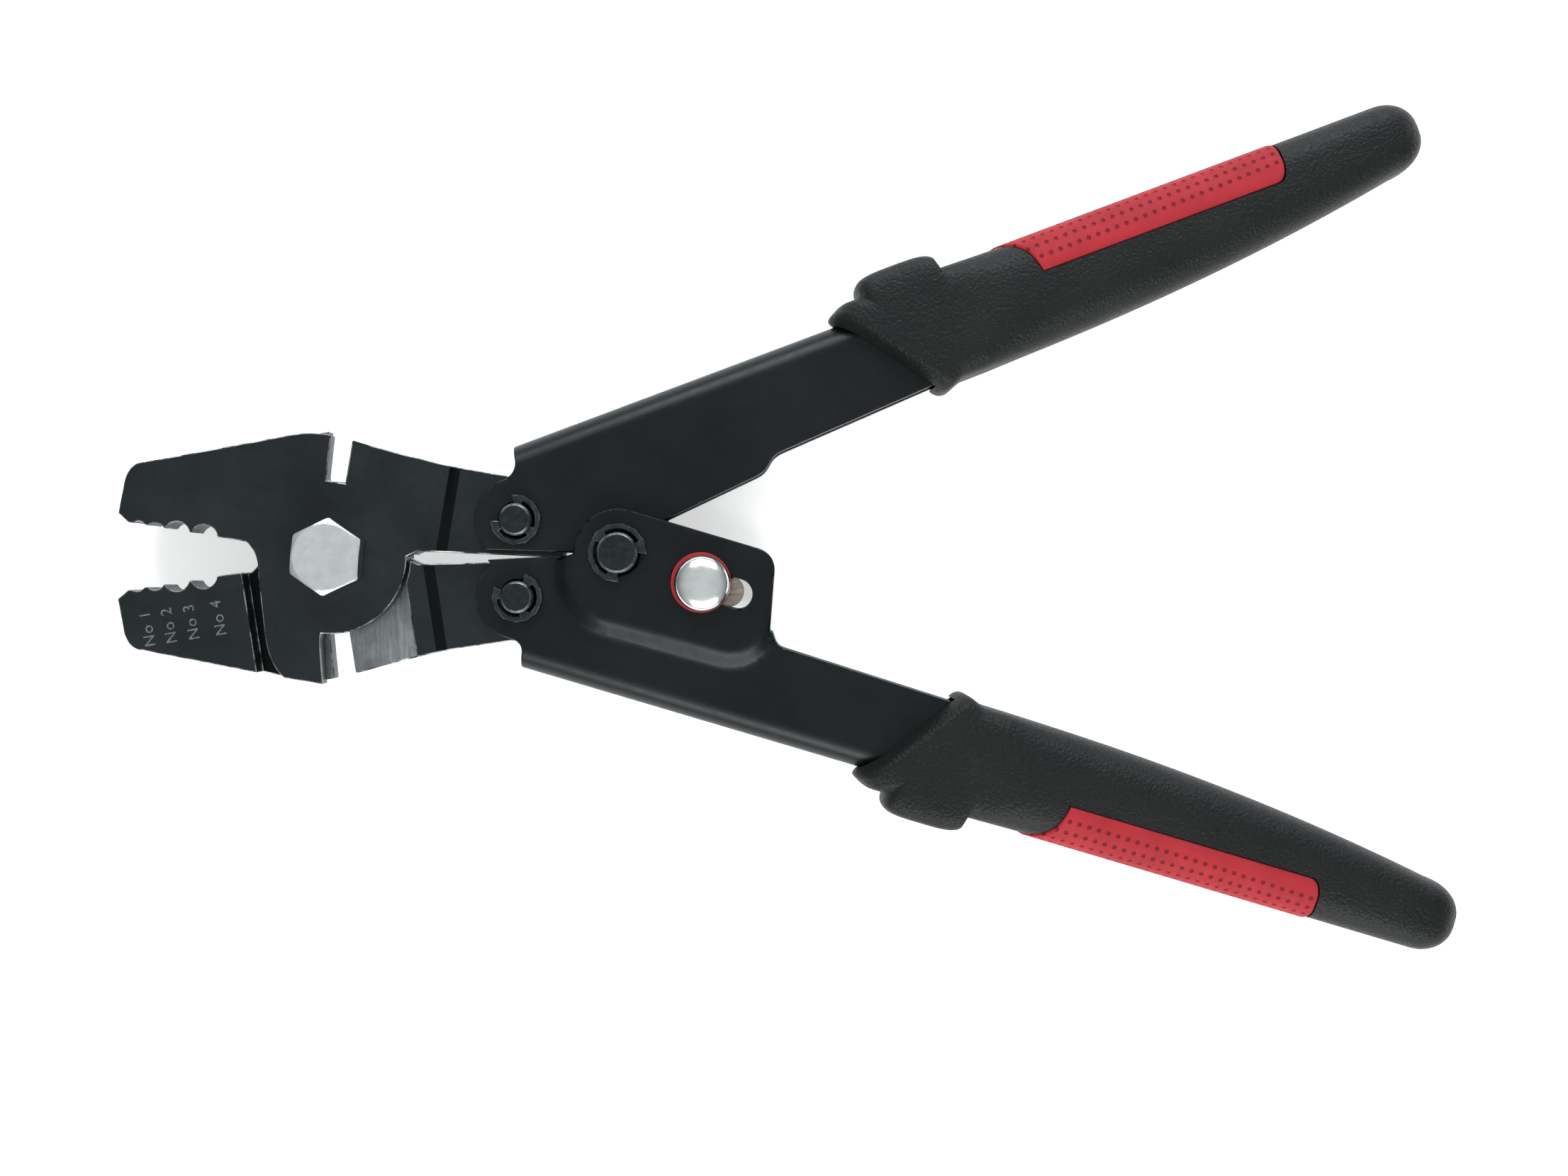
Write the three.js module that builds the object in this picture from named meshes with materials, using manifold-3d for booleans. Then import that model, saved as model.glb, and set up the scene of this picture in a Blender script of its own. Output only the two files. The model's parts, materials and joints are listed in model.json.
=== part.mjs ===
// Compound-leverage crimping pliers, lying flat. Millimetres, +Z up.
// X runs from the jaws to the grips. The group's origin is on the resting plane, at the middle of the plan.
import * as THREE from 'three';
import { mergeVertices } from 'three/addons/utils/BufferGeometryUtils.js';
import Module from 'manifold-3d';

const wasm = await Module();
wasm.setup();

// ---- driving dimensions ------------------------------------------------------------------------

const gap = 0.3;                                  // running clearance between separate pieces
const boltAt = new THREE.Vector3(-86.68, -2.93, 9); // jaw pivot, at the middle of the thickness

// Link pivots in plan, measured from the jaw pivot, with the jaws open.
const upperPinAt = new THREE.Vector2(35.6, 6.6);
const lowerPinAt = new THREE.Vector2(35.7, -8.1);
const handlePinAt = new THREE.Vector2(55, 0);
const openPivotPlay = 0.3;                        // extra radius in the upper jaw's pin hole

// Directions of each moving part in the open position, in degrees.
const upperJawTurn = -10.2;
const lowerJawTurn = 8.0;
const upperHandleTurn = 19.7;
const lowerHandleTurn = -17.3;

const jaw = {
  thickness: 8, lapGap: 0.3, tailThickness: 4.4, discRadius: 14.6, toothLine: 0.3,
  pocketLeft: -17, pocketRight: 13.5, pocketRadius: 15.3, discRecess: 19.7, pocketRecess: 17.3,
  tailRadius: 8.4, lobeEnd: -24.1,
};
const nests = [                                   // crimp nests along the tooth line
  { x: -36.9, radius: 1.6, depth: 0.5 },
  { x: -33.5, radius: 1.75, depth: 0.8 },
  { x: -29.4, radius: 2.45, depth: 1.65 },
  { x: -24.2, radius: 2.55, depth: 1.95 },
];
const shearSlot = { left: -3.6, right: 0.6, bottom: 14.3 };

const bolt = { radius: 4, endRadius: 3.4, end: -9, headHeight: 4.3, headTurn: -5.5 };
const nut = { height: 4.6, turn: 10 };
const hexAcrossFlats = 13;
const hexFaceInset = 0.4;                         // from the flats to the turned face of a hex

const jawPinRadius = 3.1;
const handlePinRadius = 3.9;
const pinHead = { height: 1.2, lip: 1.4, chamfer: 0.4 };
const pinEnd = { height: 0.5, chamfer: 0.5 };
const pinGroove = 0.8;                            // depth of the clip groove
const clip = { thickness: 0.8, opening: 42, prong: 14, jawPinOuter: 4.8, handlePinOuter: 5.6 };
const spacer = { radius: 4.85, half: 2.2 };

const sheet = 2;                                  // handle sheet thickness
const channel = { inner: 5, spineY: 26.3, end: 158, tabRadius: 8, hubRadius: 8.3 };
const earInner = 4.8;                             // inner face of the raised ears, from mid thickness
const upperInnerEdge = { x: 36, y: 7.3, backY: 9 };  // free edge of the cheeks, ahead of the grip
const lowerInnerEdge = { x: 35, y: 8.4, backY: 9.1 };
const lockSlot = { from: 11, to: 26.7, width: 5.6, y: 1 };
const stemX = 17;                                 // lock stem along the slot, unlocked
const lock = {
  ringRadius: 5.7, ringHeight: 0.9, plateLow: 2.7, plateHigh: 4.3, clipOuter: 4.4, groove: 0.6, end: -8.9,
};

const grip = {
  halfThickness: 8.6, outerY: 29.5, innerY: 8.2, lip: 1.3, stopHeight: 4, roundness: 0.66,
  tipX: 165.6, tipInner: 15.6, tipLength: 7.4, socketEnd: 160,
};
const upperGripShift = -1.7;                      // the upper grip is pushed further on to its handle
const gripMouth = { x: 54.6, y: 27.2, slant: -55.7 };  // the slanted front end, in plan
const insert = { from: 88, to: 145, inY: 21.6, proud: 0.35, depth: 1.5 };

const wire = { radius: 0.6, coilRadius: 5.8, legZ: 1.5, legX: 24, legY: 21.9, turns: 3 };

// ---- helpers -----------------------------------------------------------------------------------

const deg = THREE.MathUtils.degToRad;

function solid(geometry) {
  const bare = geometry.clone();
  bare.deleteAttribute('normal');
  bare.deleteAttribute('uv');
  const merged = mergeVertices(bare, 1e-4);
  return new wasm.Manifold(new wasm.Mesh({
    numProp: 3,
    vertProperties: new Float32Array(merged.attributes.position.array),
    triVerts: new Uint32Array(merged.index.array),
  }));
}

function toGeometry(body) {
  const mesh = body.getMesh();
  const geometry = new THREE.BufferGeometry();
  geometry.setAttribute('position', new THREE.BufferAttribute(new Float32Array(mesh.vertProperties), 3));
  geometry.setIndex(new THREE.BufferAttribute(new Uint32Array(mesh.triVerts), 1));
  geometry.computeVertexNormals();
  return geometry;
}

// A flat outline raised between two heights.
function plate(shape, low, high, curveSegments = 12) {
  const depth = high - low;
  const geometry = new THREE.ExtrudeGeometry(shape, { depth, bevelEnabled: false, curveSegments });
  return solid(geometry.translate(0, 0, low));
}

// A slab with one straight bevel round its upper edge, drawn in by `inset` over `height`.
function bevelledPlate(shape, low, high, inset, height) {
  const geometry = new THREE.ExtrudeGeometry(shape, {
    depth: high - low - height, bevelThickness: height, bevelSize: inset, bevelOffset: -inset,
    bevelSegments: 1, curveSegments: 12,
  });
  return solid(geometry.translate(0, 0, low)).trimByPlane([0, 0, 1], low);
}

// An outline cut along Y: the points are [x, z] pairs.
function wedge(points, low, high) {
  const geometry = new THREE.ExtrudeGeometry(outline(points), { depth: high - low, bevelEnabled: false });
  return solid(geometry.rotateX(Math.PI / 2).translate(0, high, 0));
}

function outline(points) {
  return new THREE.Shape(points.map(([x, y]) => new THREE.Vector2(x, y)));
}

function round(radius, low, high, x = 0, y = 0, segments = 36) {
  const geometry = new THREE.CylinderGeometry(radius, radius, high - low, segments);
  return solid(geometry.rotateX(Math.PI / 2).translate(x, y, (low + high) / 2));
}

function slab(x0, x1, y0, y1, z0, z1) {
  const geometry = new THREE.BoxGeometry(x1 - x0, y1 - y0, z1 - z0);
  return solid(geometry.translate((x0 + x1) / 2, (y0 + y1) / 2, (z0 + z1) / 2));
}

// A turned piece about Z: the profile is [radius, z] pairs, lowest first, starting and ending on the axis.
function turned(profile, segments = 32) {
  const points = profile.map(([r, z]) => new THREE.Vector2(r, z));
  return solid(new THREE.LatheGeometry(points, segments).rotateX(Math.PI / 2));
}

function stadium(from, to, width, y) {
  const r = width / 2;
  const shape = new THREE.Shape();
  shape.absarc(to - r, y, r, -Math.PI / 2, Math.PI / 2, false);
  shape.absarc(from + r, y, r, Math.PI / 2, Math.PI * 1.5, false);
  return shape;
}

const union = (...bodies) => wasm.Manifold.union(bodies);
const bothFaces = (body) => union(body, body.mirror([0, 0, 1]));

// Where a plan point lies in the frame of a part that pivots at `pivot` and is turned by `turn` degrees.
function inPartFrame(point, pivot, turn, flipped) {
  const p = point.clone().sub(pivot).rotateAround(new THREE.Vector2(), -deg(turn));
  return flipped ? new THREE.Vector2(p.x, -p.y) : p;
}

// ---- jaws --------------------------------------------------------------------------------------

// One jaw in its own frame: pivot at the origin, tooth line along -X, tail towards +X.
// The front half carries the lap disc and the shear lobe. The rear half is cut away for the other jaw.
function jawShape(hole) {
  const s = new THREE.Shape();
  s.moveTo(-38.9, jaw.toothLine);
  s.lineTo(-41.1, 1.7);
  s.lineTo(-40.9, 8.2);
  s.quadraticCurveTo(-40.5, 11.6, -37.8, 12.1);
  s.lineTo(-12.4, 21.3);
  s.quadraticCurveTo(-8.5, 23, -4.2, 23);
  s.lineTo(1.2, 22.6);
  s.quadraticCurveTo(10, 21.4, 20, 20.9);
  s.lineTo(hole.x - 3, hole.y + jaw.tailRadius - 0.4);
  s.absarc(hole.x, hole.y, jaw.tailRadius, deg(100), deg(20), true);
  s.quadraticCurveTo(hole.x + 9.8, hole.y - 3, hole.x + 10, hole.y - 5.6);
  s.lineTo(16.4, 3.9);
  s.absarc(0, 0, jaw.discRadius, deg(10), deg(-87), true);
  s.lineTo(0.8, -16);
  s.lineTo(2.7, jaw.lobeEnd);
  s.lineTo(-4.8, jaw.lobeEnd);
  s.quadraticCurveTo(-8.4, -22, -10.1, -15.6);
  s.lineTo(-12.9, -5.6);
  s.quadraticCurveTo(-13.4, -1.4, -16.2, jaw.toothLine);
  return s;
}

function makeJaw(hole, holePlay) {
  const half = jaw.thickness / 2;
  const lap = jaw.lapGap / 2;
  const past = half + 1;
  let body = plate(jawShape(hole), -half, half);

  const pocket = union(
    slab(jaw.pocketLeft, jaw.pocketRight, -30, 30, -past, lap),
    round(jaw.pocketRadius, -past, lap),
  );
  body = body.subtract(pocket);

  const slot = [
    [shearSlot.left + 0.5, shearSlot.bottom], [shearSlot.right, shearSlot.bottom],
    [shearSlot.right, 26], [shearSlot.left - 0.1, 26],
  ];
  body = body.subtract(plate(outline(slot), -past, past));

  for (const nest of nests) {
    const centre = jaw.toothLine + nest.depth - nest.radius;
    body = body.subtract(round(nest.radius, -past, past, nest.x, centre, 24));
  }

  const tail = jaw.tailThickness / 2;
  const step = half - tail;
  const recess = (from) => wedge(
    [[from, half], [from + step, tail], [60, tail], [60, past], [from, past]], -30, 30,
  );
  body = body.subtract(recess(jaw.discRecess)).subtract(recess(jaw.pocketRecess).mirror([0, 0, 1]));

  body = body.subtract(round(bolt.radius + gap, -past, past));
  return body.subtract(round(jawPinRadius + gap + holePlay, -past, past, hole.x, hole.y));
}

// ---- fasteners ---------------------------------------------------------------------------------

function hexBlank(low, high, chamferLow, chamferHigh) {
  const across = hexAcrossFlats / Math.sqrt(3);
  const prism = round(across, low, high, 0, 0, 6);
  const face = hexAcrossFlats / 2 - hexFaceInset;
  const drop = (across - face) * 0.5;
  const cone = turned([
    [0, low], [chamferLow ? face : across + 1, low], [across, low + (chamferLow ? drop : 0.01)],
    [across, high - (chamferHigh ? drop : 0.01)], [chamferHigh ? face : across + 1, high], [0, high],
  ], 36);
  return prism.intersect(cone);
}

function makeBolt() {
  const seat = jaw.thickness / 2 + gap / 2;
  const head = hexBlank(seat, seat + bolt.headHeight, false, true).rotate([0, 0, bolt.headTurn]);
  const chamfer = bolt.radius - bolt.endRadius;
  const shank = turned([
    [0, bolt.end], [bolt.endRadius, bolt.end], [bolt.radius, bolt.end + chamfer],
    [bolt.radius, seat + 1], [0, seat + 1],
  ], 32);
  return union(head, shank);
}

function makeNut() {
  const seat = -jaw.thickness / 2 - gap / 2;
  return hexBlank(seat - nut.height, seat, true, false)
    .subtract(round(bolt.radius + gap, -20, 0))
    .rotate([0, 0, nut.turn]);
}

// A headed pin: a low head on the rear, a clip groove and a chamfered end at the front.
function makePin(radius, face) {
  const groove = radius - pinGroove;
  const seat = face + gap / 2;
  const clipTop = seat + clip.thickness + 2 * gap;
  const headRadius = radius + pinHead.lip;
  const headEnd = -seat - pinHead.height;
  const tip = clipTop + pinEnd.height + pinEnd.chamfer;
  return turned([
    [0, headEnd], [headRadius - pinHead.chamfer, headEnd], [headRadius, headEnd + pinHead.chamfer],
    [headRadius, -seat], [radius, -seat], [radius, seat], [groove, seat], [groove, clipTop],
    [radius, clipTop], [radius, tip - pinEnd.chamfer], [radius - pinEnd.chamfer, tip], [0, tip],
  ]);
}

// An E-clip: an open ring with three inner prongs that reach into the pin's groove.
function makeClip(pinRadius, outerRadius, openingAt, face) {
  const prong = pinRadius - pinGroove + gap;
  const relief = pinRadius + 0.7;
  const tip = clip.opening + clip.prong + 3;
  const s = new THREE.Shape();
  s.absarc(0, 0, outerRadius, deg(clip.opening), deg(360 - clip.opening), false);
  let from = 360 - clip.opening;
  for (const centre of [360 - tip, 180, tip]) {
    s.absarc(0, 0, relief, deg(from), deg(centre + clip.prong), true);
    s.absarc(0, 0, prong, deg(centre + clip.prong), deg(centre - clip.prong), true);
    from = centre - clip.prong;
  }
  const low = face + 1.5 * gap;
  return plate(s, low, low + clip.thickness, 5).rotate([0, 0, openingAt]);
}

// ---- handles -----------------------------------------------------------------------------------
// Handle frame: handle pin at the origin, X along the grip, Y towards the outer spine.

// A folded channel: two cheeks joined by a round spine, cut to its plan outline.
function channelStock() {
  const inner = channel.inner / 2;
  const outer = inner + sheet;
  const centre = channel.spineY - outer;
  const section = new THREE.Shape();
  section.moveTo(-outer, -20);
  section.lineTo(-inner, -20);
  section.absarc(0, centre, inner, Math.PI, 0, true);
  section.lineTo(inner, -20);
  section.lineTo(outer, -20);
  section.absarc(0, centre, outer, 0, Math.PI, false);
  const geometry = new THREE.ExtrudeGeometry(section, {
    depth: channel.end + 30, bevelEnabled: false, curveSegments: 12,
  });
  return solid(geometry.rotateY(Math.PI / 2).translate(-30, 0, 0));
}

// The direction of the line between the bolt and the handle pin, in a handle's frame.
function centreLine(turn) {
  return deg(180 - Math.abs(turn));
}

// Cheek outline, with a flat beside the centre line that meets the other handle when fully open.
function cheekShape(pin, turn, innerEdge) {
  const line = centreLine(turn);
  const along = new THREE.Vector2(Math.cos(line), Math.sin(line));
  const side = new THREE.Vector2(along.y, -along.x);
  const flatPoint = (t, offset) => along.clone().multiplyScalar(t).addScaledVector(side, offset);
  const flatStart = flatPoint(channel.hubRadius, 0.25);
  const flatEnd = flatPoint(25, 0.9);
  const tabFrom = Math.atan2(flatEnd.y - pin.y, flatEnd.x - pin.x);
  const s = new THREE.Shape();
  s.moveTo(-12, channel.spineY);
  s.lineTo(channel.end, channel.spineY);
  s.lineTo(channel.end, 19);
  s.lineTo(82, 11.4);
  s.quadraticCurveTo(74, innerEdge.backY, 68, innerEdge.backY);
  s.lineTo(innerEdge.x, innerEdge.y);
  s.bezierCurveTo(32.5, innerEdge.y - 0.2, 33, 4.8, 29.5, 4.5);
  s.lineTo(10.7, 2.9);
  s.lineTo(8.2, 1.2);
  s.absarc(0, 0, channel.hubRadius, deg(8), flatStart.angle() - 2 * Math.PI, true);
  s.lineTo(flatEnd.x, flatEnd.y);
  s.absarc(pin.x, pin.y, channel.tabRadius, tabFrom, deg(84), true);
  s.quadraticCurveTo(-12.8, 21.4, -12.4, 23.4);
  return s;
}

function channelBody(pin, turn, innerEdge) {
  return channelStock().intersect(plate(cheekShape(pin, turn, innerEdge), -10, 10));
}

// The hook on the upper handle's rear cheek that the lock stem slides under when the handles are shut.
function lockHook() {
  const s = new THREE.Shape();
  s.moveTo(3, -4.5);
  s.lineTo(7.4, -4.2);
  s.lineTo(12.2, -4.2);
  s.absarc(12.2, -5.1, 0.9, Math.PI / 2, -Math.PI / 2, true);
  s.lineTo(5, -6.5);
  s.lineTo(3, -7);
  return plate(s, -channel.inner / 2 - sheet, -channel.inner / 2);
}

function makeUpperHandle(pin) {
  const outer = channel.inner / 2 + sheet;
  const hole = round(jawPinRadius + gap, -10, 10, pin.x, pin.y);
  return union(channelBody(pin, upperHandleTurn, upperInnerEdge), lockHook())
    .subtract(hole)
    .subtract(round(handlePinRadius + gap, -outer - 1, outer + 1));
}

// The raised area of the lower handle's cheek, drawn in by `inset`. It runs on past the ear's free edges.
function raisedShape(inset) {
  const s = new THREE.Shape();
  s.moveTo(-24, -24);
  s.lineTo(40, -24);
  s.lineTo(40, 6);
  s.lineTo(33 - inset, 6);
  s.absarc(24, 6, 9 - inset, 0, Math.PI / 2, false);
  s.absarc(1.5, 3, 12.6 - inset, deg(82), deg(172), false);
  s.lineTo(-24, -4);
  return s;
}

// The ear's free outline round the handle pin, and its square front with one round corner.
function earShape(turn) {
  const line = centreLine(turn);
  const s = new THREE.Shape();
  s.moveTo(-12, 5.3);
  s.lineTo(8.4 * Math.cos(line), 8.4 * Math.sin(line));
  s.absarc(0, 0, 8.4, line, deg(270), false);
  s.lineTo(25.2, -8.4);
  s.quadraticCurveTo(29, -8.2, 29.5, -4.4);
  s.lineTo(31.8, 6.4);
  s.quadraticCurveTo(32.3, 8.4, 36, 8.6);
  s.lineTo(36, 20);
  s.lineTo(-14, 20);
  return s;
}

function makeLowerHandle(pin) {
  const inner = channel.inner / 2;
  const earOuter = earInner + sheet;
  const ramp = 2;
  const raised = bevelledPlate(raisedShape(0), inner, earOuter, ramp, earOuter - inner - sheet)
    .intersect(plate(earShape(lowerHandleTurn), inner, earOuter + 1));
  const hollow = plate(raisedShape(ramp), inner - 0.5, earInner);
  const slot = plate(stadium(lockSlot.from, lockSlot.to, lockSlot.width, lockSlot.y), -20, 20);
  return union(channelBody(pin, lowerHandleTurn, lowerInnerEdge), bothFaces(raised))
    .subtract(bothFaces(hollow))
    .subtract(slot)
    .subtract(round(jawPinRadius + gap, -10, 10, pin.x, pin.y))
    .subtract(round(handlePinRadius + gap, -10, 10));
}

// ---- grips -------------------------------------------------------------------------------------

const smooth = THREE.MathUtils.smoothstep;

// The grip's outer edge, with the thumb stop standing out near the front.
function gripOuter(x) {
  const front = smooth(x, 61.5, 66.5);
  const back = 1 - smooth(x, 75.8, 78.8);
  return grip.outerY - 2.4 * (1 - smooth(x, 52, 58)) + grip.stopHeight * Math.min(front, back);
}

// The grip's inner edge: a small lip at the mouth, then a curve that closes in towards the tip.
function gripInner(x) {
  const along = Math.max(0, x - 68) / (grip.tipX - 68);
  const lip = grip.lip * (1 - smooth(x, 69, 75));
  return grip.innerY + (grip.tipInner - grip.innerY) * along ** 2.3 - lip;
}

// The grip's rounded form, grown by `offset`, as rings along X that close at a round tip.
function gripForm(offset) {
  const stations = [50, 54, 57, 60, 61.5, 63, 64.5, 66.5, 69, 72, 75, 76.5, 77.8, 79.5, 84, 92, 104, 118,
    130, 142, 152, 160, grip.tipX];
  const rings = stations.map((x) => {
    const high = gripOuter(x) + offset;
    const low = gripInner(x) - offset;
    return { x, y: (high + low) / 2, half: (high - low) / 2, depth: grip.halfThickness + offset };
  });
  const last = rings.at(-1);
  const capSteps = 6;
  for (let i = 1; i <= capSteps; i += 1) {
    const a = (i / capSteps) * (Math.PI / 2) * 0.96;
    const x = last.x + (grip.tipLength + offset) * Math.sin(a);
    rings.push({ x, y: last.y, half: last.half * Math.cos(a), depth: last.depth * Math.cos(a) ** 0.8 });
  }
  return solid(ringLoft(rings, 20, grip.roundness));
}

// A closed skin over rings of a rounded-square section. A roundness below 1 fills the corners.
function ringLoft(rings, sides, roundness) {
  const positions = [];
  const index = [];
  const bulge = (v) => Math.sign(v) * Math.abs(v) ** roundness;
  for (const ring of rings) {
    for (let i = 0; i < sides; i += 1) {
      const a = ((i + 0.5) / sides) * 2 * Math.PI;
      positions.push(ring.x, ring.y + ring.half * bulge(Math.cos(a)), ring.depth * bulge(Math.sin(a)));
    }
  }
  for (let r = 0; r < rings.length - 1; r += 1) {
    for (let i = 0; i < sides; i += 1) {
      const a = r * sides + i;
      const b = r * sides + ((i + 1) % sides);
      index.push(a, b, b + sides, a, b + sides, a + sides);
    }
  }
  const end = (rings.length - 1) * sides;
  for (let i = 1; i < sides - 1; i += 1) {
    index.push(0, i + 1, i, end, end + i, end + i + 1);
  }
  const geometry = new THREE.BufferGeometry();
  geometry.setAttribute('position', new THREE.Float32BufferAttribute(positions, 3));
  geometry.setIndex(index);
  return geometry;
}

// The stretch of the outer side that the insert fills, widened by `by`.
function insertRegion(by) {
  const shape = outline([
    [insert.from - by, 34], [insert.from - by, 27.6], [insert.from + 6.4 - by, insert.inY - by],
    [insert.to - 4 + by, insert.inY - by], [insert.to + by, 27], [insert.to + by, 34],
  ]);
  return plate(shape, -20, 20);
}

function makeGrip() {
  const wall = channel.inner / 2 + sheet + gap;
  const room = outline([
    [40, 6], [64, 8.2], [72, 8.6], [80, 9.9], [grip.socketEnd, 18.2],
    [grip.socketEnd, channel.spineY + gap], [40, channel.spineY + gap],
  ]);
  const recess = insertRegion(gap).subtract(gripForm(-insert.depth - gap));
  const slant = deg(gripMouth.slant + 90);
  const normal = [Math.cos(slant), Math.sin(slant), 0];
  return gripForm(0)
    .trimByPlane(normal, normal[0] * gripMouth.x + normal[1] * gripMouth.y)
    .subtract(plate(room, -wall, wall))
    .subtract(recess);
}

function makeInsert() {
  return gripForm(insert.proud).subtract(gripForm(-insert.depth)).intersect(insertRegion(0));
}

// ---- spring ------------------------------------------------------------------------------------

// A torsion spring round the handle pin, wound from the lower handle's leg up to the upper handle's.
// Each leg presses on its own handle's spine from inside.
function springPath() {
  const legEnd = (turn, y) => new THREE.Vector2(wire.legX, y).rotateAround(new THREE.Vector2(), deg(turn));
  const lowerEnd = legEnd(lowerHandleTurn, -wire.legY);
  const upperEnd = legEnd(upperHandleTurn, wire.legY);
  const reach = Math.acos(wire.coilRadius / lowerEnd.length());
  const start = lowerEnd.angle() - reach;
  const sweep = upperEnd.angle() + reach - start - 2 * Math.PI * wire.turns;
  const coil = [];
  const steps = 14 * wire.turns;
  for (let i = 0; i <= steps; i += 1) {
    const angle = start + (sweep * i) / steps;
    const z = wire.legZ * ((2 * i) / steps - 1);
    coil.push(new THREE.Vector3(wire.coilRadius * Math.cos(angle), wire.coilRadius * Math.sin(angle), z));
  }
  const leg = (end, root) => [1, 0.75, 0.5, 0.25].map((t) => root.clone().lerp(end, t));
  const lowerLeg = leg(new THREE.Vector3(lowerEnd.x, lowerEnd.y, -wire.legZ), coil[0]);
  const upperLeg = leg(new THREE.Vector3(upperEnd.x, upperEnd.y, wire.legZ), coil.at(-1)).reverse();
  return new THREE.CatmullRomCurve3([...lowerLeg, ...coil, ...upperLeg]);
}

function makeSpring() {
  const section = new THREE.Shape();
  section.absarc(0, 0, wire.radius, 0, 2 * Math.PI, false);
  return new THREE.ExtrudeGeometry(section, { extrudePath: springPath(), steps: 84, curveSegments: 3 });
}

// ---- lock --------------------------------------------------------------------------------------

function makeLockButton() {
  const seat = earInner + sheet + gap + lock.ringHeight + gap;
  const stem = lockSlot.width / 2 - gap;
  const groove = stem - lock.groove;
  const grooveLow = lock.end + 0.6;
  const grooveHigh = grooveLow + clip.thickness + 1.4 * gap;
  return turned([
    [0, lock.end], [stem - 0.3, lock.end], [stem, lock.end + 0.3], [stem, grooveLow],
    [groove, grooveLow], [groove, grooveHigh], [stem, grooveHigh], [stem, seat],
    [5.1, seat], [5.3, seat + 0.4], [5.2, seat + 1.1], [4.6, seat + 2],
    [3.4, seat + 2.7], [1.8, seat + 3.05], [0, seat + 3.15],
  ]);
}

function makeLockRing() {
  const low = earInner + sheet + gap;
  return round(lock.ringRadius, low, low + lock.ringHeight)
    .subtract(round(lockSlot.width / 2, low - 1, low + 2));
}

function makeLockPlate() {
  const body = plate(stadium(-3, 8, 6, 0), lock.plateLow, lock.plateHigh);
  return body.subtract(round(lockSlot.width / 2, 0, 10));
}

function makeLockClip() {
  const stem = lockSlot.width / 2 - gap;
  const face = lock.end + 0.6 - 0.8 * gap;
  return makeClip(stem + pinGroove - lock.groove, lock.clipOuter, 180, face);
}

// ---- assembly ----------------------------------------------------------------------------------

const tool = new THREE.Group();
tool.position.copy(boltAt);

function finish(color, roughness, metalness) {
  return () => new THREE.MeshStandardMaterial({ color, roughness, metalness });
}

const blackSteel = finish(0x26282a, 0.45, 0.7);
const paintedSheet = finish(0x1d1f21, 0.4, 0.3);
const chrome = finish(0xd8dadc, 0.12, 1);
const pinSteel = finish(0x34363a, 0.35, 0.9);
const clipSteel = finish(0x55585c, 0.4, 0.9);
const springSteel = finish(0x8a8c8e, 0.3, 1);
const zincPlate = finish(0x8d7a56, 0.4, 0.9);
const blackRubber = finish(0x202122, 0.8, 0);
const redPlastic = finish(0x9c2b33, 0.55, 0);

// A turned group stands for each moving part. A flipped part is the same piece turned over, face down.
function partGroup(at, turn, flipped = false) {
  const group = new THREE.Group();
  group.position.set(at.x, at.y, 0);
  group.rotation.set(flipped ? Math.PI : 0, 0, deg(turn), 'ZYX');
  tool.add(group);
  return group;
}

function add(group, name, shape, material, x = 0, y = 0) {
  const geometry = shape.isBufferGeometry ? shape : toGeometry(shape);
  const mesh = new THREE.Mesh(geometry, material());
  mesh.name = name;
  mesh.position.set(x, y, 0);
  group.add(mesh);
}

const origin = new THREE.Vector2();
const level = partGroup(origin, 0);
const earFace = earInner + sheet;
const cheekFace = channel.inner / 2 + sheet;

const upperJaw = partGroup(origin, upperJawTurn);
const lowerJaw = partGroup(origin, lowerJawTurn, true);
const upperHandle = partGroup(handlePinAt, upperHandleTurn);
const lowerHandle = partGroup(handlePinAt, lowerHandleTurn, true);
const lockGroup = partGroup(handlePinAt, lowerHandleTurn);

const upperHole = inPartFrame(upperPinAt, origin, upperJawTurn, false);
const lowerHole = inPartFrame(lowerPinAt, origin, lowerJawTurn, true);
add(upperJaw, 'upper_jaw', makeJaw(upperHole, openPivotPlay), blackSteel);
add(lowerJaw, 'lower_jaw', makeJaw(lowerHole, 0), blackSteel);
add(level, 'pivot_bolt', makeBolt(), chrome);
add(level, 'pivot_nut', makeNut(), chrome);

const upperPinLocal = inPartFrame(upperPinAt, handlePinAt, upperHandleTurn, false);
const lowerPinLocal = inPartFrame(lowerPinAt, handlePinAt, lowerHandleTurn, true);
add(upperHandle, 'upper_handle', makeUpperHandle(upperPinLocal), paintedSheet);
add(lowerHandle, 'lower_handle', makeLowerHandle(lowerPinLocal), paintedSheet);

add(level, 'upper_jaw_pin', makePin(jawPinRadius, cheekFace), pinSteel, upperPinAt.x, upperPinAt.y);
add(level, 'lower_jaw_pin', makePin(jawPinRadius, cheekFace), pinSteel, lowerPinAt.x, lowerPinAt.y);
add(level, 'handle_pin', makePin(handlePinRadius, earFace), pinSteel, handlePinAt.x, handlePinAt.y);
const jawClip = (openingAt) => makeClip(jawPinRadius, clip.jawPinOuter, openingAt, cheekFace);
add(level, 'upper_jaw_clip', jawClip(140), clipSteel, upperPinAt.x, upperPinAt.y);
add(level, 'lower_jaw_clip', jawClip(112), clipSteel, lowerPinAt.x, lowerPinAt.y);
const handleClip = makeClip(handlePinRadius, clip.handlePinOuter, -45, earFace);
add(level, 'handle_clip', handleClip, clipSteel, handlePinAt.x, handlePinAt.y);

const bush = round(spacer.radius, -spacer.half, spacer.half)
  .subtract(round(handlePinRadius + gap, -5, 5));
add(level, 'handle_pin_spacer', bush, clipSteel, handlePinAt.x, handlePinAt.y);
add(level, 'opening_spring', makeSpring(), springSteel, handlePinAt.x, handlePinAt.y);

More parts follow.
